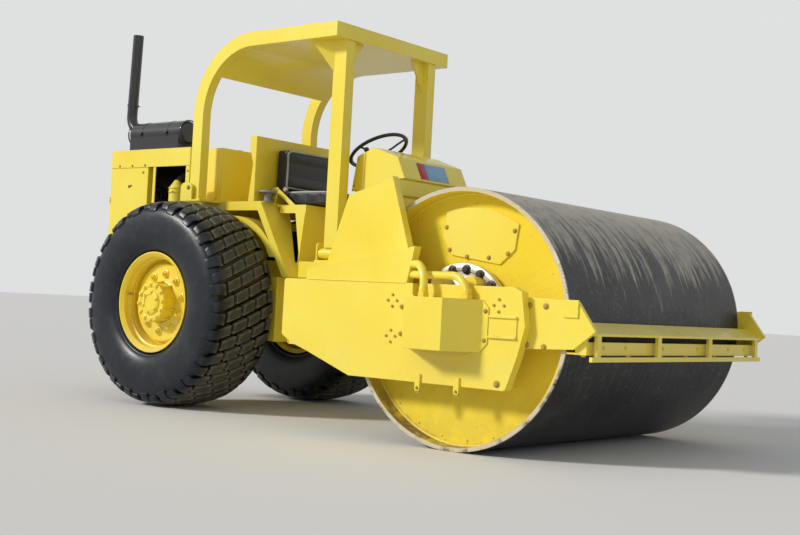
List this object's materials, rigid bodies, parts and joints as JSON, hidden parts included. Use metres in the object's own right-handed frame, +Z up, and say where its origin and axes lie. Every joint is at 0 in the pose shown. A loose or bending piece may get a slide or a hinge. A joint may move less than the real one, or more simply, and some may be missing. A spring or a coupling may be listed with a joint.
{
  "type": "articulated single-drum road roller",
  "caption": "Articulated vibratory road roller: a wide smooth steel drum in a plate frame ahead, rubber-tyred engine end behind, open operator's seat under a roll bar.",
  "frame": {"origin": "on the ground under the steering pivot, midway along the machine", "axes": "+X forward towards the drum, +Y to the left, +Z up"},
  "size_m": [4.9, 2.72, 2.88],
  "materials": {
    "yellow_paint": "gloss lemon-yellow machine enamel, dusty",
    "drum_steel": "rolled steel, dull and scuffed, with dried mud",
    "tyre_rubber": "matt rubber, dusty",
    "black_vinyl": "black vinyl",
    "black_plastic": "moulded black",
    "black_paint": "heat-dulled black",
    "dark_metal": "oily dark casting",
    "rod_chrome": "hard chrome"
  },
  "bodies": {
    "root": {"chassis_members": "yellow_paint", "pivot_bracket": "yellow_paint", "tail_plate": "yellow_paint", "rear_axle": "yellow_paint", "platform": "yellow_paint", "deck": "yellow_paint", "bulkhead": "yellow_paint", "deck_legs": "yellow_paint", "seat_riser": "yellow_paint", "seat_cushion": "black_vinyl", "seat_back": "black_vinyl", "console": "yellow_paint", "steering_wheel": "black_plastic", "tank": "yellow_paint", "hood_top": "yellow_paint", "hood_sides": "yellow_paint", "firewall": "yellow_paint", "grille": "yellow_paint", "engine": "dark_metal", "radiator": "dark_metal", "filler_cap": "black_plastic", "air_cleaner": "yellow_paint", "exhaust": "black_paint", "rops_rails": "yellow_paint", "rops_cross_members": "yellow_paint", "rops_roof": "yellow_paint", "rops_posts": "yellow_paint", "rops_feet": "yellow_paint"},
    "hitch": {"hitch_yoke": "yellow_paint"},
    "front_frame": {"side_plates": "yellow_paint", "side_rails": "yellow_paint", "guard_panels": "yellow_paint", "guard_beam": "yellow_paint", "front_arms": "yellow_paint", "crossbox": "yellow_paint", "front_bar": "yellow_paint", "scraper": "yellow_paint", "motor_covers": "yellow_paint", "drum_motors": "dark_metal", "drum_carriers": "yellow_paint"},
    "drum": {"drum_shell": "drum_steel", "drum_hatches": "yellow_paint"},
    "wheel_right": {"tyre_right": "tyre_rubber", "rim_right": "yellow_paint"},
    "wheel_left": {"tyre_left": "tyre_rubber", "rim_left": "yellow_paint"},
    "barrel_right": {"cylinder_barrel_right": "yellow_paint"},
    "barrel_left": {"cylinder_barrel_left": "yellow_paint"},
    "rod_right": {"cylinder_rod_right": "rod_chrome"},
    "rod_left": {"cylinder_rod_left": "rod_chrome"}
  },
  "joints": [
    {"name": "articulation", "type": "hinge", "parent": "root", "child": "hitch", "pos_m": [0, 0, 0.7], "axis": [0, 0, 1], "range_deg": [-30, 30]},
    {"name": "frame_roll", "type": "hinge", "parent": "hitch", "child": "front_frame", "pos_m": [0.26, 0, 0.7], "axis": [1, 0, 0], "range_deg": [-8, 8]},
    {"name": "drum_spin", "type": "hinge", "parent": "front_frame", "child": "drum", "pos_m": [1.52, 0, 0.75], "axis": [0, 1, 0], "continuous": true},
    {"name": "wheel_right_spin", "type": "hinge", "parent": "root", "child": "wheel_right", "pos_m": [-1.2, -0.745, 0.735], "axis": [0, 1, 0], "continuous": true},
    {"name": "wheel_left_spin", "type": "hinge", "parent": "root", "child": "wheel_left", "pos_m": [-1.2, 0.745, 0.735], "axis": [0, 1, 0], "continuous": true},
    {"name": "barrel_right_swing", "type": "hinge", "parent": "root", "child": "barrel_right", "pos_m": [-0.5, -0.22, 0.7], "axis": [0, 0, 1], "range_deg": [-6, 6]},
    {"name": "rod_right_slide", "type": "slide", "parent": "barrel_right", "child": "rod_right", "axis": [0.9994, -0.0333, 0], "range_m": [-0.125, 0.125]},
    {"name": "barrel_left_swing", "type": "hinge", "parent": "root", "child": "barrel_left", "pos_m": [-0.5, 0.22, 0.7], "axis": [0, 0, 1], "range_deg": [-6, 6]},
    {"name": "rod_left_slide", "type": "slide", "parent": "barrel_left", "child": "rod_left", "axis": [0.9994, 0.0333, 0], "range_m": [-0.125, 0.125]}
  ],
  "couplings": [
    {"joint": "barrel_right_swing", "follows": "articulation", "ratio": 0.1683},
    {"joint": "rod_right_slide", "follows": "articulation", "m_per_rad": 0.2327},
    {"joint": "barrel_left_swing", "follows": "articulation", "ratio": 0.1683},
    {"joint": "rod_left_slide", "follows": "articulation", "m_per_rad": -0.2327}
  ]
}
